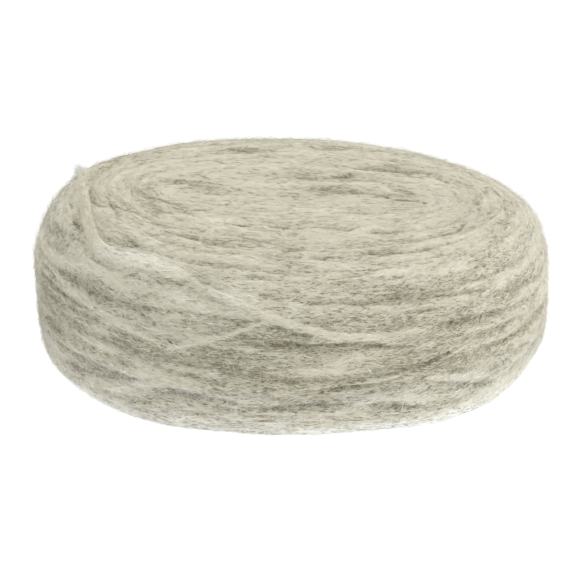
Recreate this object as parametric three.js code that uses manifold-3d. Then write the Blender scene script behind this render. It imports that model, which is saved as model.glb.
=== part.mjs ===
// A plate of unspun wool yarn: a soft roving, wound turn beside turn into a wheel round a collapsed heart.
// Millimetres, +Z up. The origin is on the resting face, under the middle of the plate.
import * as THREE from "three";
import { mergeVertices } from "three/addons/utils/BufferGeometryUtils.js";
import Module from "manifold-3d";

// The wheel's overall form
const PLATE_DIAMETER = 150;
const PLATE_HEIGHT = 50;
const TOP_SHOULDER = { reach: 25, drop: 20 };
const FOOT_SHOULDER = { reach: 22, rise: 15 };
const HEART = { half_length: 34, offset: 2, dip: 3 };
const LEAN = 0.055; // the share by which the plate is thicker at its left edge and thinner at its right
const OUT_OF_ROUND = [
  { lobes: 2, share: 0.006, turned: 0.9 },
  { lobes: 3, share: 0.005, turned: 2.2 },
  { lobes: 5, share: 0.003, turned: 0.3 },
];

// The winding: a spiral of turns, each wandering along the section and rising and sinking as it goes round
const TURN_PITCH = 4.6;
const GROOVE_DEPTH = 1.2;
const TURN_WANDER = 0.9;
const TURN_RISE = 0.8;
const WAVES = [
  { rate: 0.41, phase: 0.4, share: 0.45 },
  { rate: 1.17, phase: 2.1, share: 0.35 },
  { rate: 2.63, phase: 4.0, share: 0.2 },
];
const RISE_LAG = 11; // radians of winding between a turn's wandering and its rising
const HEART_FADE = 4; // the lengths of section over which the turns die away at the heart and at the foot
const FOOT_FADE = 7;

// Turns that cross over the others: angles in degrees from +X, depths along the section from the heart
const CROSSING_WIDTH = 8;
const CROSSING_RISE = 1.5;
const CROSSINGS = [
  { from_angle: 221, to_angle: 286, from_depth: 64, to_depth: 87, bend: 1.8 },
  { from_angle: 188, to_angle: 243, from_depth: 79, to_depth: 88, bend: 0.8 },
  { from_angle: 243, to_angle: 280, from_depth: 88, to_depth: 73, bend: 1.4 },
  { from_angle: 300, to_angle: 352, from_depth: 96, to_depth: 82, bend: 1.0 },
  { from_angle: 12, to_angle: 70, from_depth: 72, to_depth: 94, bend: 1.2 },
  { from_angle: 84, to_angle: 150, from_depth: 97, to_depth: 70, bend: 0.9 },
  { from_angle: 128, to_angle: 176, from_depth: 76, to_depth: 95, bend: 1.3 },
];

// The loose end: its middle line, from where it leaves the winding to its free tip over the left shoulder
const ROVING_DIAMETER = 3.6;
const LOOSE_END_CLEARANCE = 0.4;
const LOOSE_END_ROUTE = [
  { x: -50.5, y: -47.0, z: 46.6 },
  { x: -52.4, y: -43.5, z: 47.9 },
  { x: -53.9, y: -39.8, z: 49.2 },
  { x: -55.1, y: -36.0, z: 50.4 },
  { x: -56.1, y: -32.0, z: 51.3 },
  { x: -56.9, y: -27.9, z: 52.0 },
  { x: -57.6, y: -23.8, z: 52.4 },
  { x: -58.2, y: -19.6, z: 52.7 },
  { x: -58.8, y: -15.5, z: 52.8 },
  { x: -59.3, y: -11.3, z: 52.9 },
  { x: -59.9, y: -7.1, z: 53.0 },
  { x: -60.5, y: -2.9, z: 53.0 },
  { x: -61.1, y: 1.3, z: 53.0 },
  { x: -61.9, y: 5.4, z: 53.0 },
  { x: -62.8, y: 9.6, z: 52.8 },
  { x: -63.8, y: 13.6, z: 52.3 },
];

// How finely the spiral and the loose end are drawn
const ROWS_PER_TURN = 3;
const STEPS_AROUND = 56;
const LOOSE_END_STEPS = 9;
const LOOSE_END_SIDES = 8;

const WOUND_COLOUR = 0xc4c0ae;
const LOOSE_COLOUR = 0xd2cebd;

const PLATE_RADIUS = PLATE_DIAMETER / 2;
const { clamp, smoothstep } = THREE.MathUtils;

// Half of the wheel's section, from the heart over the shoulder and down the side to the edge of the foot
function halfSection() {
  const faceRadius = PLATE_RADIUS - TOP_SHOULDER.reach;
  const footRadius = PLATE_RADIUS - FOOT_SHOULDER.reach;
  const shoulderFoot = PLATE_HEIGHT - TOP_SHOULDER.drop;
  const quarter = Math.PI / 2;
  const path = new THREE.Path();
  path.moveTo(0, PLATE_HEIGHT - HEART.dip);
  path.quadraticCurveTo(faceRadius / 2, PLATE_HEIGHT, faceRadius, PLATE_HEIGHT);
  path.absellipse(faceRadius, shoulderFoot, TOP_SHOULDER.reach, TOP_SHOULDER.drop, quarter, 0, true);
  path.lineTo(PLATE_RADIUS, FOOT_SHOULDER.rise);
  path.absellipse(footRadius, FOOT_SHOULDER.rise, FOOT_SHOULDER.reach, FOOT_SHOULDER.rise, 0, -quarter, true);
  return path;
}

const section = halfSection();
const sectionLength = section.getLength();

function roundness(angle) {
  return OUT_OF_ROUND.reduce((sum, row) => sum + row.share * Math.cos(row.lobes * angle - row.turned), 1);
}

// A point of the wheel: depth is the length along the section from the heart, rise the height off the surface
function surfacePoint(depth, angle, rise) {
  const share = depth / sectionLength;
  const place = section.getPoint(share);
  const along = section.getTangent(share);
  const radius = place.x - along.y * rise;
  const heartShare = 1 - radius / PLATE_RADIUS;
  const bulge = 1 + (roundness(angle) - 1) * (1 - heartShare);
  const across = (radius + HEART.half_length * heartShare) * Math.cos(angle) * bulge;
  const x = HEART.offset * heartShare + across;
  const height = (place.y + along.x * rise) * (1 - (LEAN * x) / PLATE_RADIUS);
  return new THREE.Vector3(x, radius * Math.sin(angle) * bulge, Math.max(height, 0));
}

// A slow uneven wave along the winding, between -1 and 1
function wave(wound) {
  return WAVES.reduce((sum, { rate, phase, share }) => sum + share * Math.sin(rate * wound + phase), 0);
}

// How far the crossing turns lift the surface at one place
function crossingRise(depth, angle) {
  const degrees = THREE.MathUtils.radToDeg(angle);
  return CROSSINGS.reduce((most, row) => {
    const share = (degrees - row.from_angle) / (row.to_angle - row.from_angle);
    if (share <= 0 || share >= 1) return most;
    const middle = row.from_depth + (row.to_depth - row.from_depth) * share ** row.bend;
    const off = clamp(Math.abs(depth - middle) / CROSSING_WIDTH, 0, 0.5);
    const ends = smoothstep(share, 0, 0.15) * smoothstep(1 - share, 0, 0.15);
    return Math.max(most, CROSSING_RISE * ends * Math.cos(Math.PI * off) ** 2);
  }, 0);
}

// A point of the spiral: each turn has a groove row and two rows on its rounded back
function spiralPoint(row, step) {
  const angle = (2 * Math.PI * step) / STEPS_AROUND;
  const turn = Math.floor(row / ROWS_PER_TURN);
  const woundAngle = 2 * Math.PI * turn + angle;
  const even = (row / ROWS_PER_TURN + step / STEPS_AROUND - 1) * TURN_PITCH;
  const inside = smoothstep(even, 0, HEART_FADE) * smoothstep(sectionLength - even, 0, FOOT_FADE);
  const depth = clamp(even + TURN_WANDER * wave(woundAngle) * inside, 0, sectionLength);
  const lift = TURN_RISE * wave(woundAngle + RISE_LAG);
  const crossed = crossingRise(depth, angle);
  const groove = row % ROWS_PER_TURN === 0 ? GROOVE_DEPTH * (1 - crossed / CROSSING_RISE) : 0;
  return surfacePoint(depth, angle, inside * (lift + crossed - groove));
}

// The whole skin: the spiral's rows from the heart to the foot, and the flat foot that the plate rests on
function woundGeometry() {
  const turns = Math.ceil(sectionLength / TURN_PITCH) + 1;
  const rows = turns * ROWS_PER_TURN + 1;
  const points = [];
  for (let row = 0; row < rows; row++) {
    for (let step = 0; step < STEPS_AROUND; step++) points.push(spiralPoint(row, step));
  }
  // After a whole turn the spiral meets the row of the turn below
  const corner = (row, step) =>
    step < STEPS_AROUND ? row * STEPS_AROUND + step : Math.min(row + ROWS_PER_TURN, rows - 1) * STEPS_AROUND;
  const faces = [];
  for (let row = 0; row + 1 < rows; row++) {
    for (let step = 0; step < STEPS_AROUND; step++) {
      const a = corner(row, step);
      const b = corner(row, step + 1);
      const c = corner(row + 1, step + 1);
      const d = corner(row + 1, step);
      faces.push(a, d, b, b, d, c);
    }
  }
  const footMiddle = points.push(new THREE.Vector3(0, 0, 0)) - 1;
  const footRow = (rows - 1) * STEPS_AROUND;
  for (let step = 0; step < STEPS_AROUND; step++) {
    faces.push(footRow + step, footMiddle, footRow + ((step + 1) % STEPS_AROUND));
  }
  return new THREE.BufferGeometry().setFromPoints(points).setIndex(faces);
}

// A tube along the loose end's route, run on past both ends by the overrun
function looseEndGeometry(radius, overrun) {
  const points = LOOSE_END_ROUTE.map(({ x, y, z }) => new THREE.Vector3(x, y, z));
  const last = points.length - 1;
  const startWay = points[0].clone().sub(points[1]).setLength(overrun);
  const tipWay = points[last].clone().sub(points[last - 1]).setLength(overrun);
  points[0].add(startWay);
  points[last].add(tipWay);
  const round = new THREE.Shape().absarc(0, 0, radius, 0, 2 * Math.PI);
  return new THREE.ExtrudeGeometry(round, {
    curveSegments: LOOSE_END_SIDES / 2,
    steps: LOOSE_END_STEPS,
    extrudePath: new THREE.CatmullRomCurve3(points),
  });
}

const wasm = await Module();
wasm.setup();

function solidFrom(geometry) {
  const shared = geometry.clone();
  shared.deleteAttribute("normal");
  shared.deleteAttribute("uv");
  const { attributes, index } = mergeVertices(shared, 1e-4);
  const mesh = new wasm.Mesh({
    numProp: 3,
    vertProperties: new Float32Array(attributes.position.array),
    triVerts: new Uint32Array(index.array),
  });
  return new wasm.Manifold(mesh);
}

function geometryFrom(solid) {
  const { vertProperties, triVerts } = solid.getMesh();
  const geometry = new THREE.BufferGeometry();
  geometry.setAttribute("position", new THREE.BufferAttribute(vertProperties, 3));
  geometry.setIndex(new THREE.BufferAttribute(triVerts, 1));
  return geometry;
}

// The loose end lies in a shallow groove that it has pressed into the winding
function groovedPlate() {
  const bed = looseEndGeometry(ROVING_DIAMETER / 2 + LOOSE_END_CLEARANCE, LOOSE_END_CLEARANCE);
  return geometryFrom(solidFrom(woundGeometry()).subtract(solidFrom(bed)));
}

function wool(colour) {
  return new THREE.MeshStandardMaterial({ color: colour, roughness: 0.95, metalness: 0 });
}

const plate = new THREE.Group();

const wound = new THREE.Mesh(groovedPlate(), wool(WOUND_COLOUR));
wound.name = "wound_plate";
plate.add(wound);

const looseEnd = new THREE.Mesh(looseEndGeometry(ROVING_DIAMETER / 2, 0), wool(LOOSE_COLOUR));
looseEnd.name = "loose_end";
plate.add(looseEnd);

export default plate;
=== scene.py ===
import bpy
import numpy as np
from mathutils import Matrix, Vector


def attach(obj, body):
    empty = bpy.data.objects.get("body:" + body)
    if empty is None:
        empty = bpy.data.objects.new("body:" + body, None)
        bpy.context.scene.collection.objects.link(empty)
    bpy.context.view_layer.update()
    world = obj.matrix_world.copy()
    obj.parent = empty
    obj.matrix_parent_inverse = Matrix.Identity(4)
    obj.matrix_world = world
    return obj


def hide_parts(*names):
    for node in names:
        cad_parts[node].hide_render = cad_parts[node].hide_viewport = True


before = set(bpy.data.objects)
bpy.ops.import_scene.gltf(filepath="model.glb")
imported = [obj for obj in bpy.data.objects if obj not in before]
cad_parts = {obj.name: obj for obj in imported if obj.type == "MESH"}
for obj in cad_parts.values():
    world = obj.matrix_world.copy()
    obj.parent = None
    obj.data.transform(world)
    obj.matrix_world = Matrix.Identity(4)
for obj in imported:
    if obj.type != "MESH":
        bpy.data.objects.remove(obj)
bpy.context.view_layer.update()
mm = 0.001
rng = np.random.default_rng(21)
print("frame loaded:", ", ".join(sorted(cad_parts)))

viewpoint = {
    "middle": (0.0, 0.0, 25.0),  # mm, the middle of the plate
    "elevation": 20.3,  # degrees above the horizon
    "distance": 492.0,  # mm from the middle
    "aim": (-0.3, 0.0, 18.2),  # mm, what the frame's centre shows
    "fieldOfView": 20.0,  # degrees
    "sensor": 36.0,  # mm
}


# The eye is on a circle round the plate's middle, as high as the elevation says, and is turned to its aim
def setCamera():
    tilt = np.radians(viewpoint["elevation"])
    eyeWay = Vector((0, -np.cos(tilt), np.sin(tilt)))
    eye = Vector(viewpoint["middle"]) + viewpoint["distance"] * eyeWay
    data = bpy.data.cameras.new("photoCamera")
    data.sensor_width = viewpoint["sensor"]
    data.lens = viewpoint["sensor"] / 2 / np.tan(np.radians(viewpoint["fieldOfView"]) / 2)
    camera = bpy.data.objects.new("photoCamera", data)
    camera.location = eye * mm
    camera.rotation_euler = (Vector(viewpoint["aim"]) - eye).to_track_quat("-Z", "Y").to_euler()
    bpy.context.collection.objects.link(camera)
    bpy.context.scene.camera = camera


setCamera()
print("camera set")


# sRGB hex to linear, by the standard's two-part curve
def hexColour(text):
    value = np.array([int(text[i : i + 2], 16) for i in (1, 3, 5)]) / 255
    linear = np.where(value <= 0.04045, value / 12.92, ((value + 0.055) / 1.055) ** 2.4)
    return (*linear.tolist(), 1.0)


# Adds a node, sets its properties and sockets, and links the sockets that are given another node's output.
# A socket is given by its name, or by "in" and its number where names repeat
def addNode(tree, kind, settings=None, **sockets):
    node = tree.nodes.new(kind)
    for name, value in (settings or {}).items():
        setattr(node, name, value)
    for name, value in sockets.items():
        numbered = name.startswith("in")
        socket = node.inputs[int(name[2:]) if numbered else name.replace("_", " ")]
        if isinstance(value, bpy.types.NodeSocket):
            tree.links.new(value, socket)
        else:
            socket.default_value = value
    return node


# The plate's form, as the solid has it

plate = {
    "radius": 75.0,
    "height": 50.0,
    "topReach": 25.0,
    "topDrop": 20.0,
    "footReach": 22.0,
    "footRise": 15.0,
    "heartHalfLength": 34.0,
    "heartOffset": 2.0,
    "heartDip": 3.0,
    "lean": 0.055,  # thicker at the left edge and thinner at the right by this share
    "lobes": ((2, 0.006, 0.9), (3, 0.005, 2.2), (5, 0.003, 0.3)),  # out of round: how many, share and turn
    "sectionSteps": 300,  # points along each line of the section
    "clear": 0.05,  # mm between the lowest wool and the table
}


# The length of a line up to each of its points
def lengthAlong(line):
    return np.concatenate([[0.0], np.cumsum(np.linalg.norm(np.diff(line, axis=0), axis=1))])


# Each vector over its own length
def unit(vectors):
    return vectors / np.maximum(np.linalg.norm(vectors, axis=-1, keepdims=True), 1e-9)


# Half of the section, run from the heart outwards: a parabola over the top face, a quarter ellipse over the
# shoulder, the straight side, a quarter ellipse to the foot, and the flat underside back to the middle
def halfSection():
    p = plate
    t = np.linspace(0, 1, p["sectionSteps"])
    quarter = t * np.pi / 2
    face = p["radius"] - p["topReach"]
    foot = p["radius"] - p["footReach"]
    shoulder = p["height"] - p["topDrop"]
    lines = [
        (t * face, p["height"] - p["heartDip"] * (1 - t) ** 2),
        (face + p["topReach"] * np.sin(quarter), shoulder + p["topDrop"] * np.cos(quarter)),
        (np.full(len(t), p["radius"]), shoulder + (p["footRise"] - shoulder) * t),
        (foot + p["footReach"] * np.cos(quarter), p["footRise"] * (1 - np.sin(quarter))),
        (foot * (1 - t), 0 * t),
    ]
    points = np.concatenate([np.stack(line, 1)[1:] for line in lines])
    points = np.concatenate([[[0.0, p["height"] - p["heartDip"]]], points])
    depth = lengthAlong(points)
    tangent = unit(np.gradient(points, depth, axis=0))
    ends = depth[np.arange(1, len(lines) + 1) * (len(t) - 1)]
    return depth, points, tangent, ends


sectionDepth, sectionPoints, sectionTangent, sectionEnds = halfSection()
sideEnd, footEnd, underEnd = sectionEnds[2:]


# A place on the plate from its depth along the section, its angle round the plate and its rise off the
# surface: rings are circles at the rim and are drawn out along X towards the heart
def onPlate(depth, angle, rise):
    r, z = (np.interp(depth, sectionDepth, sectionPoints[:, i]) for i in (0, 1))
    alongR, alongZ = (np.interp(depth, sectionDepth, sectionTangent[:, i]) for i in (0, 1))
    radius = r - alongZ * rise
    heartShare = 1 - radius / plate["radius"]
    lobed = sum(share * np.cos(lobes * angle - turned) for lobes, share, turned in plate["lobes"])
    bulge = 1 + lobed * (1 - heartShare)
    drawnOut = radius + plate["heartHalfLength"] * heartShare
    x = plate["heartOffset"] * heartShare + drawnOut * np.cos(angle) * bulge
    y = radius * np.sin(angle) * bulge
    height = (z + alongR * rise) * (1 - plate["lean"] * x / plate["radius"])
    return np.stack(np.broadcast_arrays(x, y, np.maximum(height, plate["clear"])), -1)


# Smooth step from 0 to 1: three squares less two cubes of the share of the full way
def easeIn(x, full):
    share = np.clip(x / full, 0, 1)
    return share * share * (3 - 2 * share)


# Eased in from both ends of a stretch
def fromBothEnds(x, begin, end, full):
    return easeIn(x - begin, full) * easeIn(end - x, full)


# Value noise along a line: random heights at even knots, eased from one to the next
def drift(length, every):
    place = np.asarray(length) / every
    cell = np.floor(place).astype(int)
    ease = easeIn(place - cell, 1)
    cell = cell - cell.min()
    knots = rng.normal(size=cell.max() + 2)
    return knots[cell] * (1 - ease) + knots[cell + 1] * ease


# Value noise on a sheet: random heights on a lattice of long cells, eased from one to the next both ways
def patches(along, across, long, wide):
    u, v = along / long, across / wide
    i, j = np.floor(u).astype(int), np.floor(v).astype(int)
    s, t = easeIn(u - i, 1), easeIn(v - j, 1)
    i, j = i - i.min(), j - j.min()
    knots = rng.normal(size=(i.max() + 2, j.max() + 2))
    near = knots[i, j] * (1 - s) + knots[i + 1, j] * s
    far = knots[i, j + 1] * (1 - s) + knots[i + 1, j + 1] * s
    return near * (1 - t) + far * t


# A value that changes with depth, or along a strand, read straight between its rows
def byDepth(rows, depth):
    return np.interp(depth, *np.transpose(rows))


# A smooth line through a few rows of numbers: Catmull-Rom between the rows, spaced by their index
def smoothLine(rows, count):
    rows = np.asarray(rows, float)
    padded = np.concatenate([[2 * rows[0] - rows[1]], rows, [2 * rows[-1] - rows[-2]]])
    place = np.linspace(0, len(rows) - 1, count)
    cell = np.minimum(place.astype(int), len(rows) - 2)
    t = (place - cell)[:, None]
    a, b, c, d = (padded[cell + i] for i in range(4))
    return 0.5 * (2 * b + (c - a) * t + (2 * a - 5 * b + 4 * c - d) * t**2 + (3 * b - a - 3 * c + d) * t**3)


# Puts the arrays into one mesh object, with the tone of every corner and the map along the strands
def makePiece(name, part, material, replaced=()):
    quads, tris = part["quads"], part["tris"]
    corners = np.concatenate([quads.ravel(), tris.ravel()]).astype(np.int32)
    starts = np.concatenate([np.arange(len(quads)) * 4, len(quads) * 4 + np.arange(len(tris)) * 3])
    mesh = bpy.data.meshes.new(name)
    mesh.vertices.add(len(part["points"]))
    mesh.vertices.foreach_set("co", (part["points"] * mm).astype(np.float32).ravel())
    mesh.loops.add(len(corners))
    mesh.loops.foreach_set("vertex_index", corners)
    mesh.polygons.add(len(starts))
    mesh.polygons.foreach_set("loop_start", starts.astype(np.int32))
    mesh.polygons.foreach_set("use_smooth", np.full(len(starts), len(quads) > 0))
    mesh.update(calc_edges=True)
    mesh.attributes.new("tone", "FLOAT", "POINT").data.foreach_set("value", part["tone"].astype(np.float32))
    mesh.uv_layers.new(name="strand").data.foreach_set("uv", part["map"].astype(np.float32).ravel())
    mesh.materials.append(material)
    piece = bpy.data.objects.new(name, mesh)
    bpy.context.collection.objects.link(piece)
    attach(piece, "root")
    if replaced:
        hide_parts(*replaced)
    print(f"{name}: {2 * len(quads) + len(tris)} triangles")
    return piece


# Unspun wool: loose matt fibres in one direction, which scatter light softly and catch a pale bloom at the
# edge. The tone of each place and fibre picks its colour, and streaks run along the strands.

woolLook = {
    "colours": (
        (0.0, "#79755f"), (0.3, "#a5a088"), (0.55, "#c9c4af"),
        (0.8, "#dcd8c5"), (0.93, "#e8e3cf"), (1.0, "#f0f1ec"),
    ),
    # whiter copies of the colours: painted light, for the single fibres that stand off the wool
    "bloom": ((0.0, "#7c7864"), (0.3, "#a7a28d"), (0.55, "#cac6b4"), (0.8, "#dddacd"), (1.0, "#f3f4f0")),
    "haze": ((0.0, "#7f7a69"), (0.3, "#a8a392"), (0.55, "#cac8be"), (0.8, "#dddcd9"), (1.0, "#f4f6f7")),
    "streak": (1.5, 0.4),  # mm long and wide: clumps of fibres, which are 0.03 mm thick in real wool
    "streakDetail": 2.0,
    "streakDistortion": 0.6,
    "streakRange": (0.25, 0.75),  # of the noise, spread over the streaks' whole strength
    "strandStreaks": 0.12,  # of the tone, either way
    "fibreStreaks": 0.05,
    "bumpHeight": 0.12,  # mm
    "bumpStrength": 0.5,
    "roughness": 0.95,
    "specular": 0.2,
    "sheen": 0.15,
    "sheenRoughness": 0.5,
}


# The colour is the ramp's at the tone plus streaky noise, and the same noise is the bump
def woolMaterial(name, streaks, colours):
    material = bpy.data.materials.new(name)
    material.use_nodes = True
    tree = material.node_tree
    tree.nodes.clear()
    tone = addNode(tree, "ShaderNodeAttribute", {"attribute_name": "tone"}).outputs["Fac"]
    strandMap = addNode(tree, "ShaderNodeUVMap", {"uv_map": "strand"}).outputs["UV"]
    long, wide = woolLook["streak"]
    drawn = addNode(tree, "ShaderNodeMapping", Vector=strandMap, Scale=(1 / long, 1 / wide, 1.0))
    noise = addNode(
        tree,
        "ShaderNodeTexNoise",
        {"noise_dimensions": "2D"},
        Vector=drawn.outputs["Vector"],
        Scale=1.0,
        Detail=woolLook["streakDetail"],
        Distortion=woolLook["streakDistortion"],
    ).outputs["Fac"]
    low, high = woolLook["streakRange"]
    spread = addNode(
        tree, "ShaderNodeMapRange", Value=noise, From_Min=low, From_Max=high, To_Min=-streaks, To_Max=streaks
    ).outputs["Result"]
    streaked = addNode(tree, "ShaderNodeMath", {"operation": "ADD"}, in0=tone, in1=spread)
    ramp = addNode(tree, "ShaderNodeValToRGB", Fac=streaked.outputs["Value"])
    stops = ramp.color_ramp.elements
    while len(stops) < len(colours):
        stops.new(0.5)
    for stop, (place, colour) in zip(stops, colours):
        stop.position = place
        stop.color = hexColour(colour)
    high = woolLook["bumpHeight"] * mm
    bump = addNode(tree, "ShaderNodeBump", Height=noise, Strength=woolLook["bumpStrength"], Distance=high)
    shader = addNode(
        tree,
        "ShaderNodeBsdfPrincipled",
        Base_Color=ramp.outputs["Color"],
        Roughness=woolLook["roughness"],
        Specular_IOR_Level=woolLook["specular"],
        Sheen_Weight=woolLook["sheen"],
        Sheen_Roughness=woolLook["sheenRoughness"],
        Normal=bump.outputs["Normal"],
    )
    addNode(tree, "ShaderNodeOutputMaterial", Surface=shader.outputs["BSDF"])
    return material


rovingWool = woolMaterial("unspunWoolRoving", woolLook["strandStreaks"], woolLook["colours"])
fibreWool = woolMaterial("looseWoolFibres", woolLook["fibreStreaks"], woolLook["colours"])
# painted light: single fibres that stand off the wool are given whiter colours, for the light they let
# through, most at the foot
bloomWool = woolMaterial("woolBloom", woolLook["fibreStreaks"], woolLook["bloom"])
hazeWool = woolMaterial("woolHaze", woolLook["fibreStreaks"], woolLook["haze"])
print("wool materials made")


# The winding: a spiral of soft turns from the heart over the shoulder and side and in under the foot. Its
# skin is a grid of depth along the section and angle round the plate, and the columns start at the back.

winding = {
    "columns": 640,
    "startAngle": 90.0,  # degrees
    "overlap": 40,  # columns over which the noise of the two ends of a ring is blended
    "bands": (("top", 130, 52.0), ("side", 130, sideEnd), ("foot", 72, footEnd), ("under", 16, underEnd)),
    "pitch": ((35.0, 6.0), (70.0, 4.2)),  # mm between turns by depth: broad on the pressed face
    "spareTurns": (2, 3),  # before the heart and past the middle of the underside
    "spareDepth": 20.0,  # mm
    "crowding": 0.45,  # rings crowd at the ends of the heart, to this share of their width at most
    "halfWidth": 0.57,  # of the pitch
    "hump": 1.25,  # mm from a turn's crest down to where its half width ends
    "humpPower": 3.0,  # rounder than a parabola
    "relief": ((45.0, 1.0), (58.0, 0.6), (68.0, 0.6), (80.0, 1.0)),  # how pronounced the turns are, by depth
    "locks": ((35.0, 0.28), (70.0, 1.0)),  # how closely the locks of fibres lie, by depth
    "merge": ((40.0, 0.22), (70.0, 0.14)),  # mm over which turns that meet melt together, by depth
    "sway": ((0.0, 0.0), (14.0, 1.2), (45.0, 1.0), (65.0, 0.3)),  # mm that neighbours stray, by depth
    "swayLobes": (2, 9),
    "swayShift": (12.0, 30.0),  # mm of depth for each radian that the sway turns
    "wander": (0.9, 22.0),  # mm that a turn strays along the section, and over how many mm
    "rise": (0.34, 14.0),  # the same for its crest
    "swell": (0.14, 10.0),  # and for its width, as a share
    "settle": 8.0,  # mm of depth over which this begins at the heart and ends at the underside
    "tone": 0.6,
    "tones": ((0.025, 60.0), (0.03, 16.0)),  # how its tone changes, and over how many mm
    "paler": ((40.0, 0.035), (70.0, 0.01)),  # painted light, by depth: the pressed face is made paler, as it shows less shade
    "bed": 0.95,  # mm, how far down the turns of the layer below lie
    "hollowShade": 0.13,  # painted shade: darker by this for each mm of depth between turns
    "partedShade": ((40.0, 0.3), (70.0, 0.13)),  # painted shade too where they have parted, by depth
    "meet": 6.0,  # mm of depth over which the two sides of the heart come to the same height
    "sink": 0.3,  # mm, how far the winding lies below the solid's surface
    "wall": 3.0,  # mm, how far in the skin's back lies
    "wallTone": 0.3,
}
columns = winding["columns"]
columnAngle = np.radians(winding["startAngle"]) + 2 * np.pi * np.arange(columns) / columns
mirror = (columns // 2 - np.arange(columns)) % columns  # the column across the heart's middle line

# Turns that cross over the others in front: tone, half width, and rows of angle in degrees, depth in mm and
# how far the crest rises
namedTurns = (
    (0.79, 2.8, (
        (212, 60.8, -1.2), (216, 63, 0.6), (221.5, 66, 1.1), (225, 67, 1.2), (228.5, 67.1, 1.1),
        (233.4, 66.2, 1), (237.5, 66, 0.9), (241, 66.7, 0.6), (245, 67.3, 0.3), (250, 68.5, -1),
    )),
    (0.74, 1.6, (
        (240, 66.5, -1.2), (245, 67.6, -0.2), (250, 69.6, 0.4), (255, 72.1, 0.8), (260, 74, 1),
        (264.5, 75.7, 1), (268.2, 77.3, 1), (271.6, 78.8, 1), (275, 79.9, 0.9), (278.5, 80.7, 0.8),
        (282.8, 81.4, 0.5), (286, 82, 0.1), (289, 82.9, -0.5), (295, 84.8, -1.5),
    )),
    (0.66, 1.6, (
        (200, 80.2, -1.5), (206, 80, 0.3), (213, 80.3, 0.5), (220, 81.2, 0.6), (227, 83, 0.6),
        (232, 84.4, 0.6), (238, 85.4, 0.5), (243, 86.8, 0.2), (249, 88.4, -1.5),
    )),
    (0.68, 1.2, (
        (240, 88.6, -1.5), (243.5, 87.8, 0.3), (245.6, 87, 0.6), (249.5, 85.1, 0.7), (253.8, 83.2, 0.7),
        (257.5, 81.6, 0.7), (261.5, 79, 0.7), (265.4, 77.6, 0.5), (270, 77, 0), (276, 76.4, -1.5),
    )),
    (0.66, 1.6, (
        (208, 90.6, -1.5), (214, 91.2, 0.2), (222, 92, 0.4), (229, 92.4, 0.4), (236, 93.4, 0.4),
        (241, 94.4, 0.5), (246, 95.6, 0.6), (252, 96.4, 0.6), (258, 96.8, 0.5), (264, 97.2, 0.3),
        (272, 97.6, -0.3), (280, 98, -1.5),
    )),
    (0.7, 1.3, (
        (219, 106, -1.5), (224, 104.4, 0.3), (229, 102.8, 0.5), (234, 101, 0.6), (240, 99, 0.5),
        (246, 97.4, 0.2), (252, 96.4, -1.5),
    )),
    (0.74, 1.5, (
        (296, 95, -1.5), (300, 96.2, 0.3), (305, 97.6, 0.5), (310, 99, 0.5), (315, 100.8, 0.5),
        (320, 103.2, 0.3), (325, 106, -1.5),
    )),
    (0.76, 0.7, (
        (279, 95, -1.5), (284, 94.5, 0.3), (290, 93.8, 0.4), (296, 92.7, 0.4), (301, 91.4, 0.4),
        (306, 89.8, 0.3), (311, 88.6, -1.5),
    )),
    (0.7, 1.3, (
        (266, 90.5, -1.5), (271, 90.3, 0.3), (276, 90.2, 0.4), (281, 90.4, 0.3), (287, 90.9, -1.5),
    )),
)
# Broad pale strands on the face, each a line of angles in degrees and depths in mm
faceStrands = {
    "tone": 0.69,
    "halfWidth": 2.2,
    "crest": 0.5,
    "tuck": (0.2, 1.5),  # the share of its length over which an end tucks in, and mm down
    "lines": (
        ((140, 33.2), (149, 34.5), (156, 33.2), (170.4, 28.9), (192, 31.9), (200, 34)),
        ((143, 25.6), (149.5, 26.1), (155.1, 26.1), (171.5, 22.8), (186, 24)),
        ((116, 24), (122, 25.2), (127, 30.6), (132.8, 32.2), (137.2, 33.8), (144, 30.3)),
        ((158, 9.5), (163, 10), (184.6, 11.9), (202, 12)),
        ((219, 35.5), (224.8, 35.4), (228.8, 34.8), (234.4, 32.6), (238.2, 35), (246.8, 30.1), (250, 25)),
        ((243, 45), (246.2, 41), (249.3, 38.2), (252.8, 37.6), (256, 39.5), (260, 42)),
        ((216, 51), (223, 53.4), (226.9, 54.7), (230.3, 55.5), (233.8, 56.6), (239, 57.3)),
        ((212, 40.6), (219.9, 43.9), (225.1, 47), (229, 48.3), (235, 47.2)),
        ((106, 41.6), (113.9, 45.6), (117.1, 48.4), (122.1, 46.7), (130, 39.5)),
        ((103, 29.2), (111.6, 32.5), (115.8, 34.9), (119.4, 37.5), (127, 35.5)),
        ((86, 33), (93.4, 28.5), (101.5, 23.2), (105.8, 24.2), (114, 22.7)),
        ((33, 8.6), (47, 11), (59.3, 15.1), (68, 14), (82, 13.1), (97, 10.6), (109, 4.5)),
        ((264, 28), (271.2, 21.6), (277, 19.4), (285.2, 20.6), (292.5, 21.9), (303.6, 20.2), (318, 21.5)),
        ((282, 36.8), (291.9, 33), (299, 32.3), (306.1, 35.3), (316, 37.2)),
        ((299, 47.2), (304.1, 45.6), (309.5, 44), (314.1, 43.4), (322, 41.6)),
        ((290, 51.3), (298, 52.2), (302.1, 52.2), (308.5, 51.2), (318, 51.6)),
        ((12, 24.9), (25.8, 25.9), (32.6, 27.3), (38.6, 27.9), (45, 28.8)),
        ((48, 38), (55.4, 37.7), (61.3, 37.3), (70, 38.2)),
    ),
}
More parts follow.
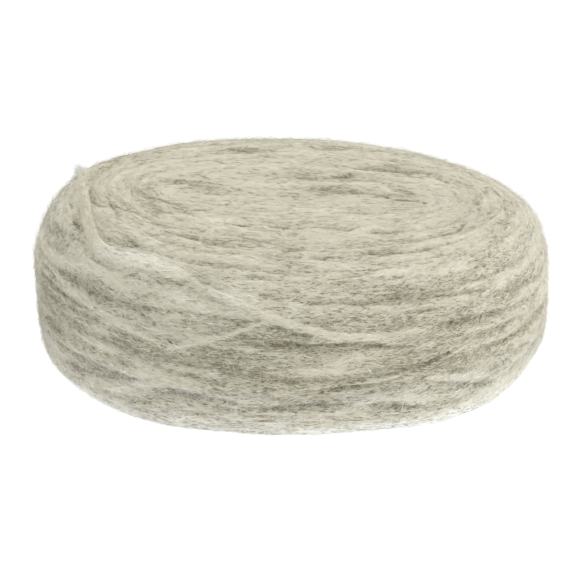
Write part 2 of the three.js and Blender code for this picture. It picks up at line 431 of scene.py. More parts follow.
# Turns that cross over the others at random, in two kinds
strayTurns = (
    {
        "count": 60,
        "depths": (14.0, 122.0),
        "span": (45.0, 170.0),  # degrees
        "slant": 5.0,  # mm along the section
        "bow": 1.5,
        "halfWidth": 2.2,
        "rise": (0.3, 0.25),  # mm: the mean and the spread
        "tone": 0.045,
    },
    {
        "count": 12,  # shorter ones, which lie more aslant on the face
        "depths": (8.0, 48.0),
        "span": (20.0, 60.0),
        "slant": 9.0,
        "bow": 1.0,
        "halfWidth": 2.6,
        "rise": (0.5, 0.2),
        "tone": 0.03,
    },
)
strayWave = 6.3  # radians of its bow, which is one wave long
strayTuck = (0.15, 2.5)

# Where turns have parted and the shade shows: angle in degrees and depth in mm at both ends, half width and
# sink in mm
partings = (
    (253, 84.4, 273, 83.5, 0.45, 0.6), (267, 83.7, 291, 83.1, 0.4, 2), (280, 83, 296, 86.6, 0.5, 1.2),
    (265, 80.8, 276, 80.5, 0.8, 0.8), (272, 96.2, 293, 94.9, 0.5, 1.5), (288, 95.2, 309, 88.2, 0.5, 2),
    (250, 103.4, 273, 100.3, 0.6, 1.2), (268, 100.4, 284, 100.5, 0.6, 1.1),
    (283, 100.4, 299, 104.2, 0.6, 1.3), (196, 80.8, 214, 80.5, 0.6, 1.2), (201, 83, 224, 84.3, 0.7, 1.1),
    (208, 89.2, 224, 89, 0.7, 1.1), (226, 88.2, 241, 91.4, 0.6, 0.7), (200, 94.6, 215, 95.8, 0.7, 1),
    (208, 103.6, 233, 100.2, 0.6, 1.2), (295, 72, 320, 75.8, 0.6, 1.1), (284, 75.3, 308, 77.1, 0.6, 1),
    (298, 80.4, 311, 82.2, 0.9, 1), (283, 79.4, 298, 79, 0.8, 0.7), (308, 91.4, 332, 93.5, 0.8, 1.2),
    (302, 99.2, 318, 103.2, 0.6, 1.2), (202, 60.6, 212, 62.6, 1.1, 1.4), (178, 45.8, 211, 50.2, 1.6, 0.6),
    (214, 60, 228, 65.3, 0.5, 0.8), (225, 65.2, 232, 64, 0.5, 0.8), (193, 57.6, 200, 58.6, 0.6, 0.9),
    (224, 57.6, 235, 61.4, 1, 0.9), (66, 23.2, 79, 20.4, 0.7, 1.1), (79, 18.9, 92, 18.3, 0.8, 0.6),
    (8, 4.6, 44, 3.8, 0.6, 1), (38, 3.8, 63, 9.8, 0.7, 1), (348, 6.6, 374, 4, 0.7, 1.4),
    (282, 7.5, 295, 8.8, 0.8, 0.6), (290, 9, 303, 5.2, 0.8, 0.6), (291, 14.2, 301, 16.4, 0.7, 0.7),
    (24, 30.6, 36, 31.8, 0.7, 0.8), (41, 26, 53, 30.6, 0.7, 0.6), (49, 30, 60, 29.6, 0.7, 0.7),
    (58, 28.9, 70, 28.5, 0.7, 0.6), (97, 42, 115, 44.6, 0.8, 0.8), (111, 26.4, 119, 29.6, 0.7, 0.8),
    (116, 29, 129, 36.8, 0.8, 0.7), (138, 14, 149, 16.5, 1.2, 0.7), (127, 15.5, 131, 24, 1.2, 0.6),
    (166, 17.4, 181, 18.3, 1, 0.7), (201, 25, 210, 20.6, 1.1, 0.8), (213, 25.6, 221, 21, 1, 0.8),
    (223, 25.2, 234, 26, 1, 0.8), (229, 22.6, 237, 20, 0.6, 0.8), (236, 17, 241, 2, 1.6, 0.6),
    (246, 32.4, 257, 34.4, 0.9, 0.9), (232, 50, 245, 47.6, 0.9, 0.7), (239, 48.6, 248, 51.2, 0.9, 0.8),
    (245.5, 53.6, 254, 48.4, 0.9, 0.8), (202, 42, 216, 47.4, 1, 0.5), (213, 46.4, 219, 50.6, 1, 0.6),
    (211, 43, 217, 42.4, 0.6, 0.8), (266, 52.4, 273, 49.6, 0.6, 1.2), (261, 31.2, 271, 33.4, 0.8, 0.8),
    (272, 54, 279, 57, 0.8, 0.8), (285, 54.2, 296, 52.2, 0.8, 0.8), (297, 50.6, 309, 47.2, 0.6, 1.1),
    (306, 47.3, 319, 48.2, 0.6, 1.1), (316, 48.4, 325, 44, 0.7, 0.8), (333, 43, 362, 29.6, 1, 0.5),
    (340, 55.8, 357, 46, 0.8, 0.7), (353, 47.4, 382, 46.6, 0.8, 0.6), (20, 46, 43, 60, 0.7, 0.6),
    (275, 65.5, 289, 62.6, 0.7, 0.7), (232, 78.4, 243, 82, 0.7, 0.8), (270, 72.9, 282, 70.8, 0.7, 0.5),
)
partingLook = {
    "ends": 0.4,  # the share of its length over which it opens
    "mean": 0.95,  # of its sink, and how it changes over how many degrees
    "uneven": (0.25, 2.0),
    "range": (0.1, 1.4),
}

# Stretches paler or darker than the wool round them, partly wool of another tone and partly painted light and
# shade, such as the paler right side and back rim and the darker top at the left: angle in degrees and depth
# in mm of the middle, how far each way, and how much paler
toneLightAndShadeStretches = (
    (236, 74, 16, 8, 0.05), (231, 66.3, 9, 3, 0.06), (184, 61, 24, 10, 0.16), (219, 62, 6, 5, 0.04),
    (357, 84, 17, 22, 0.13), (245, 57, 22, 9, 0.07), (258, 91, 20, 9, -0.06), (182, 34, 50, 17, -0.07),
    (50, 62, 45, 13, 0.13), (92, 58, 42, 7, 0.13), (318, 110, 24, 5.5, 0.15), (268, 113, 28, 6, -0.06),
    (350, 84, 9, 22, 0.08), (189, 86, 6, 16, 0.08), (20, 56, 16, 7, 0.08), (276, 66, 9, 5, 0.07),
    (248, 80.5, 6, 5, 0.09), (301, 96, 7, 5, -0.06), (283, 101, 9, 4, -0.05), (236, 68, 9, 5, 0.04),
    (302, 83, 13, 11, -0.08), (266, 54, 34, 8, 0.05),
)
# Patches of the face between the strands, made darker: partly dark fibres that show there, partly painted
# shade in the creases, in the same terms
darkFibreAndShadePatches = (
    (246, 50.5, 7, 4, -0.07), (258, 36, 6, 5, -0.03), (251.5, 33, 5, 2.2, -0.09), (209, 22, 10, 4, -0.1),
    (136, 16, 12, 5, -0.08), (172, 17, 9, 3, -0.08), (229.5, 59.7, 5, 2.5, -0.08), (211, 44.5, 8, 3, -0.08),
    (85.5, 19, 7, 3, -0.08), (73, 21, 6, 2.5, -0.13), (292, 10, 10, 4, -0.08), (40, 9.5, 8, 2.5, -0.08),
    (40, 5, 25, 2, -0.06), (269.5, 51, 4, 2.2, -0.1), (258.5, 53, 6, 4, -0.04), (290.5, 54, 4, 3, -0.08),
    (265, 71.8, 3.5, 1.5, -0.1), (321, 43, 6, 4, -0.07), (345, 45, 9, 3, -0.08),
    (105.5, 43.5, 9, 2.5, -0.08), (117, 31, 8, 3, -0.07), (51, 29.5, 9, 3, -0.06),
)
# Where the plate has slumped, or bulges, in the same terms with mm down instead
slumps = (
    (182, 67, 26, 9, 1.9), (15, 55, 26, 12, 1.4), (136, 53, 18, 10, 0.8), (316, 110, 16, 9, -1.3),
)
# Painted light: the foot grows paler towards the table, for the glow that the white table throws up on it
paintedFootGlow = {"from": 103.0, "full": 112.0, "paler": 0.44}  # mm of depth
fullFoot = {"from": 97.0, "to": 127.0, "ease": 8.0, "high": 1.1}  # mm; it bulges between front and sides


# How many turns lie between the heart and each depth
paceDepth = np.linspace(-winding["spareDepth"], underEnd + winding["spareDepth"], 2000)
pace = np.cumsum(np.gradient(paceDepth) / byDepth(winding["pitch"], paceDepth))
pace -= np.interp(0.0, paceDepth, pace)


# The turns of the spiral, a row each: their middle depth, crest, half width and tone at every column
def windTurns():
    turns = int(np.interp(underEnd, paceDepth, pace)) + sum(winding["spareTurns"])
    wound = np.arange(turns * columns) / columns - winding["spareTurns"][0]
    depth = np.interp(wound, pace, paceDepth)
    angle = np.tile(columnAngle, turns)
    line = onPlate(np.clip(depth, 0, underEnd), angle, 0.0)
    reach = lengthAlong(line)
    settled = fromBothEnds(depth, 0, underEnd, winding["settle"])
    wandered = depth + settled * winding["wander"][0] * drift(reach, winding["wander"][1])
    rise = settled * winding["rise"][0] * drift(reach, winding["rise"][1])
    swell = 1 + winding["swell"][0] * drift(reach, winding["swell"][1])
    tone = winding["tone"] + sum(amount * drift(reach, every) for amount, every in winding["tones"])
    spread = np.linalg.norm(onPlate(depth + 0.5, angle, 0.0) - onPlate(depth - 0.5, angle, 0.0), axis=1)
    wide = winding["halfWidth"] * byDepth(winding["pitch"], depth) * swell
    wide = wide / np.clip(spread, winding["crowding"], 1.0)
    return [value.reshape(turns, columns) for value in (wandered, rise, wide, tone)]


turnDepth, turnCrest, turnWide, turnTone = windTurns()


# The columns that a line of rows covers, with the rows' other values at each
def onColumns(rows):
    column = (rows[:, 0] - winding["startAngle"]) / 360 * columns
    place = np.arange(int(np.ceil(column[0])), int(column[-1]) + 1)
    return place % columns, *(np.interp(place, column, values) for values in rows.T[1:])


# How far a turn is tucked in under the others: eased in from both ends, down to the mm at the very end
def tuckedIn(t, tuck):
    share, down = tuck
    return down * (1 - fromBothEnds(t, 0, 1, share))


# A stray turn runs aslant over the others, bows as a wave and tucks in at both ends
def strayRows(stray):
    t = np.linspace(0, 1, 60)
    start = winding["startAngle"]
    angle = rng.uniform(start, start + 360) + rng.uniform(*stray["span"]) * t
    bow = stray["bow"] * rng.normal() * np.sin(strayWave * (t + rng.random()))
    depth = rng.uniform(*stray["depths"]) + stray["slant"] * rng.normal() * (t - 0.5) + bow
    crest = stray["rise"][0] + stray["rise"][1] * rng.normal()
    return np.stack([angle, depth, crest - tuckedIn(t, strayTuck)], 1)


# All that crosses over the spiral: for each, its columns with its depth and crest there, half width and tone
def layCrossings():
    laid = []
    for tone, halfWidth, turnRows in namedTurns:
        rows = smoothLine(turnRows, 200)
        rows[:, 2] /= byDepth(winding["relief"], rows[:, 1])
        laid.append((onColumns(rows), halfWidth, tone))
    t = np.linspace(0, 1, 200)
    crest = faceStrands["crest"] - tuckedIn(t, faceStrands["tuck"])
    for line in faceStrands["lines"]:
        rows = np.column_stack([smoothLine(line, len(t)), crest])
        laid.append((onColumns(rows), faceStrands["halfWidth"], faceStrands["tone"]))
    for stray in strayTurns:
        for _ in range(stray["count"]):
            tone = winding["tone"] + stray["tone"] * rng.normal()
            laid.append((onColumns(strayRows(stray)), stray["halfWidth"], tone))
    return laid


# How far neighbouring turns stray together: waves round the plate, which shift a little from depth to depth
def swayAt(depth):
    waves = 0.0
    for lobes in range(*winding["swayLobes"]):
        turned = rng.uniform(0, 2 * np.pi) + depth / rng.uniform(*winding["swayShift"])
        waves = waves + rng.normal() * np.cos(lobes * columnAngle + turned)
    return byDepth(winding["sway"], depth) * waves


# A turn's height over its width: the crest less a power of the distance from its middle
def turnHeight(off, crest, wide):
    return crest - winding["hump"] * np.abs(off / wide) ** winding["humpPower"]


# A soft spot: a bell both ways round its middle
def spot(depth, angle, middle, wayRound, wayDown, amount):
    off = ((np.degrees(columnAngle) - angle + 180) % 360 - 180) / wayRound
    return amount * np.exp(-(off**2) - ((depth - middle) / wayDown) ** 2)


# The skin's rise and tone: at each place the turns near it are melted together, as the log of the sum of
# their exponentials, and then troughs with painted shade, soft spots of other tone and of painted light and
# shade, and the full foot with its painted glow are added
def windSkin(depth):
    depth = depth[:, None]
    swayed = depth + swayAt(depth)
    share = np.arange(columns) / columns
    nearest = np.floor(np.interp(swayed, paceDepth, pace) - share).astype(int) + winding["spareTurns"][0]
    merge = byDepth(winding["merge"], depth)
    column = np.broadcast_to(np.arange(columns), nearest.shape)
    total, crest, tone = (np.zeros(nearest.shape) for _ in range(3))
    farOff = 6.0  # mm; beyond it a turn counts for nothing

    # adds a turn to the sums, weighted by the exponential of its height
    def melt(at, height, itsCrest, itsTone):
        weight = np.exp(height / merge)
        total[at] += weight
        crest[at] += weight * itsCrest
        tone[at] += weight * itsTone

    for step in (-1, 0, 1, 2):
        turn = np.clip(nearest + step, 0, len(turnDepth) - 1)
        itsCrest = turnCrest[turn, column]
        height = turnHeight(swayed - turnDepth[turn, column], itsCrest, turnWide[turn, column])
        melt(np.s_[:], height, itsCrest, turnTone[turn, column])
    melt(np.s_[:], np.full(nearest.shape, -winding["bed"]), 0.0, winding["tone"])
    for (place, middle, itsCrest), wide, itsTone in layCrossings():
        height = turnHeight(np.clip(depth - middle, -farOff, farOff), itsCrest, wide)
        melt(np.s_[:, place], height, itsCrest, itsTone)
    rise = merge * np.log(total)
    # painted shade in the hollows: darker where the melted skin lies below its turns' crests
    paintedShade = winding["hollowShade"] * np.maximum(crest / total - rise, 0)
    rise = rise * byDepth(winding["relief"], depth)
    for fromAngle, fromDepth, toAngle, toDepth, half, sink in partings:
        t = np.linspace(0, 1, 30)
        ends = fromBothEnds(t, 0, 1, partingLook["ends"])
        uneven, every = partingLook["uneven"]
        broken = np.clip(partingLook["mean"] + uneven * drift(toAngle * t, every), *partingLook["range"])
        angle = fromAngle + (toAngle - fromAngle) * t
        middle = fromDepth + (toDepth - fromDepth) * t
        place, middle, low = onColumns(np.stack([angle, middle, sink * ends * broken], 1))
        trough = low * np.exp(-(((depth - middle) / half) ** 2))  # a bell across the line
        rise[:, place] -= trough
        # a parting's trough gets painted shade as well as its sink
        paintedShade[:, place] += byDepth(winding["partedShade"], depth) * trough
    tone = tone / total - paintedShade + byDepth(winding["paler"], depth)
    # tone of the stretches and patches: other wool and dark fibres, and painted light and shade
    tone = tone + sum(spot(depth, *row) for row in toneLightAndShadeStretches + darkFibreAndShadePatches)
    rise = rise - sum(spot(depth, *row) for row in slumps)
    # the foot's painted glow
    paintedGlow = paintedFootGlow["paler"] * easeIn(depth - paintedFootGlow["from"], paintedFootGlow["full"] - paintedFootGlow["from"])
    bulge = fromBothEnds(depth, fullFoot["from"], fullFoot["to"], fullFoot["ease"])
    bulge = bulge * np.sin(2 * columnAngle) ** 2
    return rise - winding["sink"] + fullFoot["high"] * bulge, tone + paintedGlow, paintedGlow


# How the skin's fibres clump: mm high, how much paler, and mm long and wide
clumps = (
    {"high": 0.12, "paler": 0.04, "long": 14.0, "wide": 2.4},
    {"high": 0.05, "paler": 0.03, "long": 7.0, "wide": 1.2},
    {"high": 0.03, "paler": 0.02, "long": 3.0, "wide": 0.6},
)
combing = {"stray": 0.7, "long": 9.0, "wide": 4.0, "fade": 4.0}  # mm: how the clumps' lines stray and end


# The whole skin, with the clumps of its fibres: value noise on a sheet of the length along each ring and the
# depth, closed where the ring's ends meet by going from one to the other
def makeSkin():
    depth, bands = [np.zeros(1)], []
    for name, rows, end in winding["bands"]:
        begin = sum(map(len, depth)) - 1
        depth.append(np.linspace(depth[-1][-1], end, rows + 1)[1:])
        bands.append((name, begin, begin + rows + 1))
    depth = np.concatenate(depth)
    rise, tone, paintedGlow = windSkin(depth)
    # length along each ring, from the front, run on past the start where the two ends are blended
    ring = onPlate(depth[:, None], columnAngle[None], 0.0)
    hop = np.linalg.norm(np.roll(ring, -1, axis=1) - ring, axis=2)
    hop = np.concatenate([np.zeros((len(depth), 1)), hop, hop[:, : winding["overlap"]]], axis=1)
    along = np.cumsum(hop, axis=1)
    along = along - along[:, [columns // 2]]
    share = np.linspace(0, 1, winding["overlap"])
    combed = np.cumsum(np.gradient(depth) * byDepth(winding["locks"], depth))
    across = np.broadcast_to(combed[:, None], along.shape)
    strayed = across + combing["stray"] * patches(along, across, combing["long"], combing["wide"])
    fade = fromBothEnds(depth, 0, underEnd, combing["fade"])
    for clump in clumps:
        lump = patches(along, strayed, clump["long"], clump["wide"]) * fade[:, None]
        runOn = lump[:, columns : columns + winding["overlap"]]
        lump = lump[:, :columns]
        lump[:, : winding["overlap"]] = share * lump[:, : winding["overlap"]] + (1 - share) * runOn
        rise = rise + clump["high"] * lump
        tone = tone + clump["paler"] * lump
    # both sides of the heart, and of the underside, meet in its middle line
    met = 0.5 - 0.5 * fromBothEnds(depth, 0, underEnd, winding["meet"])
    rise, tone = (value + met[:, None] * (value[:, mirror] - value) for value in (rise, tone))
    points = onPlate(depth[:, None], columnAngle[None], rise)
    points[[0, -1]] = (points[[0, -1]] + points[[0, -1]][:, mirror]) / 2
    return {
        "depth": depth,
        "bands": bands,
        "points": points,
        "tone": tone,
        # how dark the wool is, its painted shade included and the foot's painted glow left out
        "dark": 1 - (tone - paintedGlow),
        "map": np.stack([along, strayed], -1)[:, : columns + 1],
    }


# One band of the skin, closed by a back wall that runs straight from its last row to its first. A row that
# lies in the middle line is sewn up there, and so is the back's, with no wall between the two
def bandOf(skin, first, last):
    backDepth = skin["depth"][[last - 1, first]][:, None]
    back = onPlate(backDepth, columnAngle[None], -winding["wall"])
    points = np.concatenate([skin["points"][first:last], back])
    tone = np.concatenate([skin["tone"][first:last], np.full(back.shape[:2], winding["wallTone"])])
    flat = np.concatenate([skin["map"][first:last], skin["map"][[last - 1, first]]])
    rows = len(points)
    ids = np.arange(rows * columns).reshape(rows, columns)
    mapIds = np.arange(rows * (columns + 1)).reshape(rows, columns + 1)
    kept = np.full(rows, True)
    toSew = []  # the front's row, the back's row and the row of faces between them
    if first == 0:
        toSew.append((0, rows - 1, rows - 1))
    if last == len(skin["depth"]):
        toSew.append((rows - 3, rows - 2, rows - 3))
    for front, rear, between in toSew:
        points[rear] = (points[rear] + points[rear][mirror]) / 2
        ids[[front, rear]] = ids[[front, rear]][:, np.minimum(mirror, np.arange(columns))]
        kept[between] = False
    below, right = np.roll(ids, -1, axis=0), np.roll(ids, -1, axis=1)
    quads = np.stack([ids, below, np.roll(right, -1, axis=0), right], -1)[kept]
    mapBelow = np.roll(mapIds, -1, axis=0)
    mapQuads = np.stack([mapIds[:, :-1], mapBelow[:, :-1], mapBelow[:, 1:], mapIds[:, 1:]], -1)[kept]
    used, quads = np.unique(quads, return_inverse=True)
    return {
        "points": points.reshape(-1, 3)[used],
        "quads": quads.reshape(-1, 4),
        "tris": np.zeros((0, 3), int),
        "tone": tone.ravel()[used],
        "map": flat.reshape(-1, 2)[mapQuads.ravel()],
    }


skin = makeSkin()
for bandName, first, last in skin["bands"]:
    makePiece(f"winding_{bandName}", bandOf(skin, first, last), rovingWool, ("wound_plate",))


# The loose end: it leaves the winding in front of the left shoulder and lies back over it to its frayed tip

looseEnd = {
    "diameter": 3.6,
    "route": (
        (-50.5, -47, 46.6), (-52.4, -43.5, 47.9), (-53.9, -39.8, 49.2), (-55.1, -36, 50.4),
        (-56.1, -32, 51.3), (-56.9, -27.9, 52), (-57.6, -23.8, 52.4), (-58.2, -19.6, 52.7),
        (-58.8, -15.5, 52.8), (-59.3, -11.3, 52.9), (-59.9, -7.1, 53), (-60.5, -2.9, 53), (-61.1, 1.3, 53),
        (-61.9, 5.4, 53), (-62.8, 9.6, 52.8), (-63.8, 13.6, 52.3),
    ),
    "rings": 90,
    "sides": 24,
    # mm and tone by the share of its length
    "halfWidth": ((0.0, 2.0), (0.3, 1.4), (0.6, 1.2), (0.9, 1.3), (1.0, 0.9)),
    "halfThick": ((0.0, 0.6), (0.35, 0.8), (0.8, 0.8), (1.0, 0.3)),
    "tone": ((0.0, 0.64), (0.3, 0.7), (1.0, 0.76)),
    "girth": (0.08, 9.0),  # the share by which it swells, and over how many mm
    "dip": (1.8, 12.0),  # mm that its root goes down among the turns, and over how many mm
    "leanLeft": 0.3,  # its flat side faces up, so much to the left, and at its root so much to the front
    "leanFront": 0.45,
    "rootShare": 0.4,
    "combedAs": 48.0,  # mm of depth at which the winding is combed as smooth
}


# A flattened round carried along the route: it is broad and flat at its root and has the skin's streaky lumps
def makeLooseEnd():
    line = smoothLine(looseEnd["route"], looseEnd["rings"])
    ahead = unit(np.gradient(line, axis=0))
    length = lengthAlong(line)
    share = length / length[-1]
    # it lies on the shoulder, which faces the front where the strand leaves the winding
    toLeft = np.full(len(line), -looseEnd["leanLeft"])
    toFront = -looseEnd["leanFront"] * (1 - easeIn(share, looseEnd["rootShare"]))
    outward = np.stack([toLeft, toFront, np.ones(len(line))], 1)
    outward = unit(outward - ahead * np.sum(ahead * outward, axis=1, keepdims=True))
    aside = np.cross(outward, ahead)
    around = -np.pi / 2 + 2 * np.pi * np.arange(looseEnd["sides"]) / looseEnd["sides"]
    girth = 1 + looseEnd["girth"][0] * drift(length, looseEnd["girth"][1])
    along = np.broadcast_to(length[:, None], (len(line), len(around)))
    across = np.broadcast_to(around * looseEnd["diameter"] / 2, along.shape)
    tone = np.broadcast_to(byDepth(looseEnd["tone"], share)[:, None], along.shape)
    lump = 0.0
    for clump in clumps:
        patch = patches(along, across, clump["long"], clump["wide"])
        lump = lump + clump["high"] * patch
        tone = tone + clump["paler"] * patch
    wide = (girth * byDepth(looseEnd["halfWidth"], share))[:, None] + lump
    thick = (girth * byDepth(looseEnd["halfThick"], share))[:, None] + lump
    dip = looseEnd["dip"][0] * (1 - easeIn(length, looseEnd["dip"][1]))
    points = (
        (line - outward * dip[:, None])[:, None]
        + aside[:, None] * (wide * np.cos(around))[..., None]
        + outward[:, None] * (thick * np.sin(around))[..., None]
    )
    rings, sides = points.shape[:2]
    ids = np.arange(rings * sides).reshape(rings, sides)
    right = np.roll(ids, -1, axis=1)
    quads = np.stack([ids[:-1], right[:-1], right[1:], ids[1:]], -1).reshape(-1, 4)
    first, last = rings * sides, rings * sides + 1
    startCap = np.stack([np.full(sides, first), right[0], ids[0]], -1)
    endCap = np.stack([np.full(sides, last), ids[-1], right[-1]], -1)
    tris = np.concatenate([startCap, endCap])
    flat = np.concatenate([np.stack([along, across], -1).reshape(-1, 2), [[0.0, 0.0], [length[-1], 0.0]]])
    corners = np.concatenate([quads.ravel(), tris.ravel()])
    part = {
        "points": np.concatenate([points.reshape(-1, 3), points[[0, -1]].mean(axis=1)]),
        "quads": quads,
        "tris": tris,
        "tone": np.concatenate([tone.ravel(), tone[[0, -1]].mean(axis=1)]),
        "map": flat[corners],
    }
    piece = makePiece("loose_end_strand", part, rovingWool, ("loose_end",))
    depth = np.full(sides, looseEnd["combedAs"])
    sheet = {"points": points.transpose(1, 0, 2), "tone": tone.T, "depth": depth}
    return piece, sheet, line


looseStrand, looseSheet, looseLine = makeLooseEnd()


sliverAt = np.array([0.0, 0.5, 1.0])  # where along a sliver its three points lie
sliverRidge = 0.5  # of its half width
sliverMap = 60.0  # mm over which the slivers' streaks are scattered


# Slivers along lines of three points, a tetrahedron each: widest halfway along with a ridge across, or
# tapered from a three-cornered root to the tip
def sliverMesh(line, out, width, shade, tapered):
    way = unit(line[:, 2] - line[:, 0])
    side = unit(np.cross(out, way))
    over = np.cross(way, side)
    if tapered:
        around = np.pi / 6 + 2 * np.pi * np.arange(3) / 3
        root = side[:, None] * np.cos(around)[None, :, None] + over[:, None] * np.sin(around)[None, :, None]
        corners = np.concatenate([line[:, :1] + width[..., None] * root, line[:, 2:]], axis=1)
        faces = np.array([(0, 2, 1), (0, 1, 3), (1, 2, 3), (2, 0, 3)])
    else:
        left = line[:, 1] + width * (sliverRidge * over + side)
        right = line[:, 1] + width * (sliverRidge * over - side)
        corners = np.stack([line[:, 0], left, right, line[:, 2]], axis=1)
        faces = np.array([(0, 2, 1), (3, 1, 2), (0, 1, 3), (0, 3, 2)])
    count = len(line)
    tris = (faces[None] + 4 * np.arange(count)[:, None, None]).reshape(-1, 3)
    flat = sliverMap * rng.random((count, 1, 2)) + np.array([(0, 0), (1, 0), (1, 0), (2, 0)])
    return {
        "points": corners.reshape(-1, 3),
        "quads": np.zeros((0, 4), int),
        "tris": tris,
        "tone": np.repeat(shade, 4),
        "map": flat.reshape(-1, 2)[tris.ravel()],
    }


# Fibres over a sheet of wool: each lies at its own slant to the strands, bends a little and may lift off at
# one end

flecks = {
    "count": 40000,
    "underCount": 3000,
    "looseCount": 900,
    "length": (1.2, 4.0),  # mm
    "halfWidth": (0.06, 0.12),
    "broad": ((40.0, 1.3), (70.0, 1.0)),  # times as wide, by depth: on the face the fibres cling in locks
    "slant": (0.05, 0.3),  # radians from the strand's way: the mean and the spread
    "bend": 0.06,  # mm
    "height": 0.1,
    "lift": 0.3,
    "tone": (1.0, 0.05, 0.18),  # the share of the sheet's tone that it takes, how much paler, and the spread
    "bite": ((40.0, 0.45), (70.0, 1.1)),  # how much of that difference shows, by depth: little on the face
    "thinned": ((40.0, 0.2), (70.0, 1.0)),  # how many fibres are left, by depth
    "tapered": False,  # thickest halfway along
}
dashes = {
    "count": 36000,  # dark fibres, which gather where the wool is darker, painted shade included, so they also paint shade
    "length": (0.8, 2.6),
    "halfWidth": (0.06, 0.12),
    "broad": ((40.0, 2.0), (70.0, 1.0)),
    "slant": (0.0, 0.15),
    "bend": 0.05,
    "height": 0.08,
    "lift": 0.1,
    "tone": (0.25, 0.03, 0.08),
    "bite": ((40.0, 0.32), (70.0, 1.1)),
    "thinned": ((40.0, 0.42), (70.0, 1.0)),
    "tapered": False,
    "gather": ((40.0, 0.4), (70.0, 0.33)),  # none where the wool is this dark, by depth
    "step": 0.09,  # and more for each such step above it
    "gathered": (0.02, 4.0),  # the least and the most
}
fuzz = {
    "count": (23000, 21000),  # above and at the foot
    "looseCount": 2500,
    "foot": 97.0,  # mm, where the foot's begins
    "length": (2.5, 6.0),
    "halfWidth": (0.04, 0.07),
    "slant": (0.0, 0.9),
    "bend": 0.0,
    "height": 0.05,
    "lift": 1.8,
    # paler than the wool under it: painted light, like the whiter colours of its materials
    "tone": (0.8, 0.24, 0.08),
    "bite": ((40.0, 0.6), (70.0, 1.0)),
    "thinned": ((40.0, 0.12), (70.0, 1.0)),
    "tapered": True,  # thickest where it leaves the wool
}
fibreLimits = {
    "hop": 0.2,  # mm, the least between two places of the sheet
    "liftPower": 1.5,  # how slowly an end lifts off
    "clear": 0.15,  # mm over the table
    "tones": (0.02, 0.98),
}


# Scatters the slivers by the sheet's area and reads each one's three points straight between the sheet's
# places. Rows run across the strands and columns along them, and a whole ring closes on itself
def layFibres(sheet, look, count, rows, ring=True):
    points, tone = sheet["points"], sheet["tone"]
    down = np.gradient(points, axis=0)
    if ring:
        ahead = (np.roll(points, -1, axis=1) - np.roll(points, 1, axis=1)) / 2
    else:
        ahead = np.gradient(points, axis=1)
    normal = unit(np.cross(down, ahead))
    area = np.linalg.norm(np.cross(down, ahead), axis=2)
    area[: rows[0]] = 0
    area[rows[1] :] = 0
    if "gather" in look:
        start = byDepth(look["gather"], sheet["depth"])[:, None]
        area = area * np.clip((sheet["dark"] - start) / look["step"], *look["gathered"])
    area = area * byDepth(look["thinned"], sheet["depth"])[:, None]
    pick = rng.choice(area.size, size=count, p=area.ravel() / area.sum())
    row, column = np.divmod(pick, area.shape[1])
    t = sliverAt[None]

    # a normal draw for each sliver
    def own():
        return rng.normal(size=(count, 1))

    # an even draw from 0 to 1 for each sliver
    def even():
        return rng.random((count, 1))

    size = rng.uniform(*look["length"], (count, 1)) * rng.choice([-1, 1], (count, 1))
    slant = look["slant"][0] + look["slant"][1] * own()
    rowHop = np.maximum(np.linalg.norm(down, axis=2)[row, column], fibreLimits["hop"])[:, None]
    columnHop = np.maximum(np.linalg.norm(ahead, axis=2)[row, column], fibreLimits["hop"])[:, None]
    bend = look["bend"] * own() * (4 * t * (1 - t) - 0.5)
    rowAt = row[:, None] + even() - (size * np.sin(slant) * (t - 0.5) + bend) / rowHop
    columnAt = column[:, None] + even() + size * np.cos(slant) * (t - 0.5) / columnHop
    inside = 1.001  # keeps a place before the last row, so that there is a next one
    rowAt = np.clip(rowAt, 0, len(points) - inside)
    if not ring:
        columnAt = np.clip(columnAt, 0, points.shape[1] - inside)
    i, j = np.floor(rowAt).astype(int), np.floor(columnAt).astype(int)
    a, b = (rowAt - i)[..., None], (columnAt - j)[..., None]
    j, nextJ = j % points.shape[1], (j + 1) % points.shape[1]

    # the sheet's values, straight between the four places round each point
    def read(values):
        above = values[i, j] * (1 - b) + values[i, nextJ] * b
        below = values[i + 1, j] * (1 - b) + values[i + 1, nextJ] * b
        return above * (1 - a) + below * a

    out = unit(read(normal))
    depth = sheet["depth"][row]
    width = rng.uniform(*look["halfWidth"], (count, 1))
    if "broad" in look:
        width = width * byDepth(look["broad"], depth)[:, None]
    off = look["height"] * even() + look["lift"] * even() * t ** fibreLimits["liftPower"]
    line = read(points) + out * off[..., None]
    line[..., 2] = np.maximum(line[..., 2], fibreLimits["clear"])
    taken, paler, spread = look["tone"]
    differs = (taken - 1) * tone[row, column] + paler + spread * rng.normal(size=count)
    shade = np.clip(tone[row, column] + byDepth(look["bite"], depth) * differs, *fibreLimits["tones"])
    return sliverMesh(line, out[:, 1], width, shade, look["tapered"])


# The loose end's tip frays into wisps: each starts on the strand near its tip and runs straight on the
# strand's way, leaning aside at random
wisps = {
    "count": 420,
    "rings": 14,  # of the strand, counted from its tip
    "wayRings": 6,  # over which the strand's way is taken
    "length": (1.2, 3.6),  # mm
    "halfWidth": (0.05, 0.09),
    "lean": (-0.1, 0.0, -0.05),
    "spread": 0.45,
    "tone": (0.86, 0.08),
}


def frayTip():
    count = wisps["count"]
    points = looseSheet["points"][:, -wisps["rings"] :].reshape(-1, 3)
    start = points[rng.integers(len(points), size=count)]
    onward = unit(looseLine[-1] - looseLine[-wisps["wayRings"]])
    way = onward + wisps["lean"] + wisps["spread"] * rng.normal(size=(count, 3))
    size = rng.uniform(*wisps["length"], (count, 1))
    line = start[:, None] + sliverAt[None, :, None] * (unit(way) * size)[:, None]
    shade = np.clip(wisps["tone"][0] + wisps["tone"][1] * rng.normal(size=count), 0, 1)
    width = rng.uniform(*wisps["halfWidth"], (count, 1))
    return sliverMesh(line, np.broadcast_to([0.0, 0.0, 1.0], (count, 3)), width, shade, True)


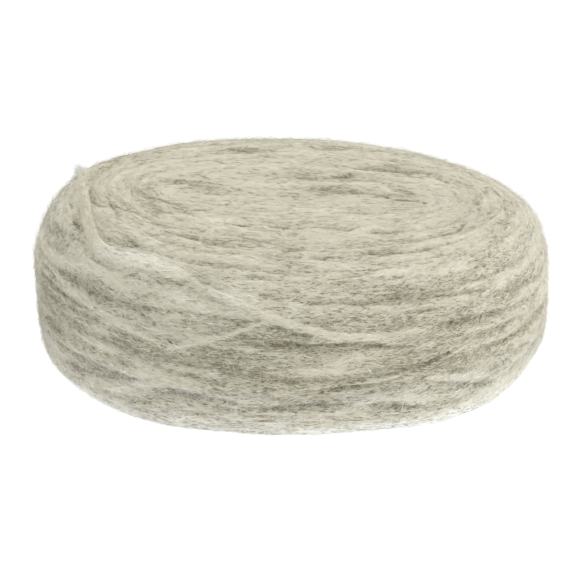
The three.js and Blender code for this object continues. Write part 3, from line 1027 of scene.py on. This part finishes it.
underRow = skin["bands"][-1][1]
makePiece("fibres", layFibres(skin, flecks, flecks["count"], (0, underRow)), fibreWool)
makePiece("dark_fibres_and_shade", layFibres(skin, dashes, dashes["count"], (0, underRow)), fibreWool)
footRow = int(np.searchsorted(skin["depth"], fuzz["foot"]))
sideFuzz = makePiece("fuzz_side", layFibres(skin, fuzz, fuzz["count"][0], (0, footRow)), bloomWool)
footFuzz = makePiece("fuzz_foot", layFibres(skin, fuzz, fuzz["count"][1], (footRow, underRow)), hazeWool)
underRows = (underRow, len(skin["depth"]))
makePiece("fibres_under", layFibres(skin, flecks, flecks["underCount"], underRows), fibreWool)
looseRows = (0, looseEnd["sides"])
laid = layFibres(looseSheet, flecks, flecks["looseCount"], looseRows, ring=False)
looseFibres = makePiece("loose_end_fibres", laid, fibreWool)
looseWisps = makePiece("loose_end_wisps", frayTip(), hazeWool)
laid = layFibres(looseSheet, fuzz, fuzz["looseCount"], looseRows, ring=False)
looseFuzz = makePiece("loose_end_fuzz", laid, fibreWool)
# single fibres are thinner than these and let the light through, so they cast no shade
for piece in (sideFuzz, footFuzz, looseWisps, looseFuzz):
    piece.visible_shadow = False
    piece.visible_diffuse = False


# A white table that glows a little, most round the plate, with soft light from above and low at the right

studio = {
    "floorSize": 4.0,  # m
    "floorColour": "#8c8c8c",
    "floorRoughness": 0.9,
    "glowColour": "#ffffff",
    "floorGlow": 0.75,
    "plateGlow": 1.0,  # within the first of these distances in m, fading to the floor's own at the second
    "glowReach": (0.1, 0.13),
    "skyColour": "#ffffff",
    "skyStrength": 0.6,
    "lampsAim": (0.0, 0.0, 0.03),
    "lamps": (
        {"place": (0.0, 0.0, 1.0), "size": 0.8, "power": 4.2},
        {"place": (0.7, -0.3, 0.2), "size": 0.5, "power": 2.1},
    ),
}


# The paper's glow falls straight from the plate's to the floor's own between two distances from the middle
def setStudio():
    half = studio["floorSize"] / 2
    corners = [(-half, -half, 0), (half, -half, 0), (half, half, 0), (-half, half, 0)]
    mesh = bpy.data.meshes.new("floor")
    mesh.from_pydata(corners, [], [(0, 1, 2, 3)])
    floor = bpy.data.objects.new("floor", mesh)
    bpy.context.collection.objects.link(floor)
    material = bpy.data.materials.new("paperSweep")
    material.use_nodes = True
    tree = material.node_tree
    shader = tree.nodes["Principled BSDF"]
    shader.inputs["Base Color"].default_value = hexColour(studio["floorColour"])
    shader.inputs["Roughness"].default_value = studio["floorRoughness"]
    shader.inputs["Emission Color"].default_value = hexColour(studio["glowColour"])
    place = addNode(tree, "ShaderNodeTexCoord").outputs["Object"]
    away = addNode(tree, "ShaderNodeVectorMath", {"operation": "LENGTH"}, in0=place).outputs["Value"]
    near, far = studio["glowReach"]
    most, least = studio["plateGlow"], studio["floorGlow"]
    glow = addNode(
        tree, "ShaderNodeMapRange", Value=away, From_Min=near, From_Max=far, To_Min=most, To_Max=least
    )
    tree.links.new(glow.outputs["Result"], shader.inputs["Emission Strength"])
    mesh.materials.append(material)
    world = bpy.data.worlds.new("softRoom")
    world.use_nodes = True
    background = world.node_tree.nodes["Background"]
    background.inputs["Color"].default_value = hexColour(studio["skyColour"])
    background.inputs["Strength"].default_value = studio["skyStrength"]
    bpy.context.scene.world = world
    for number, lamp in enumerate(studio["lamps"]):
        data = bpy.data.lights.new(f"softbox{number}", "AREA")
        data.size = lamp["size"]
        data.energy = lamp["power"]
        light = bpy.data.objects.new(f"softbox{number}", data)
        light.location = lamp["place"]
        beam = Vector(studio["lampsAim"]) - Vector(lamp["place"])
        light.rotation_euler = beam.to_track_quat("-Z", "Y").to_euler()
        bpy.context.collection.objects.link(light)
    bpy.context.scene.view_settings.view_transform = "Standard"


setStudio()
print("studio set")
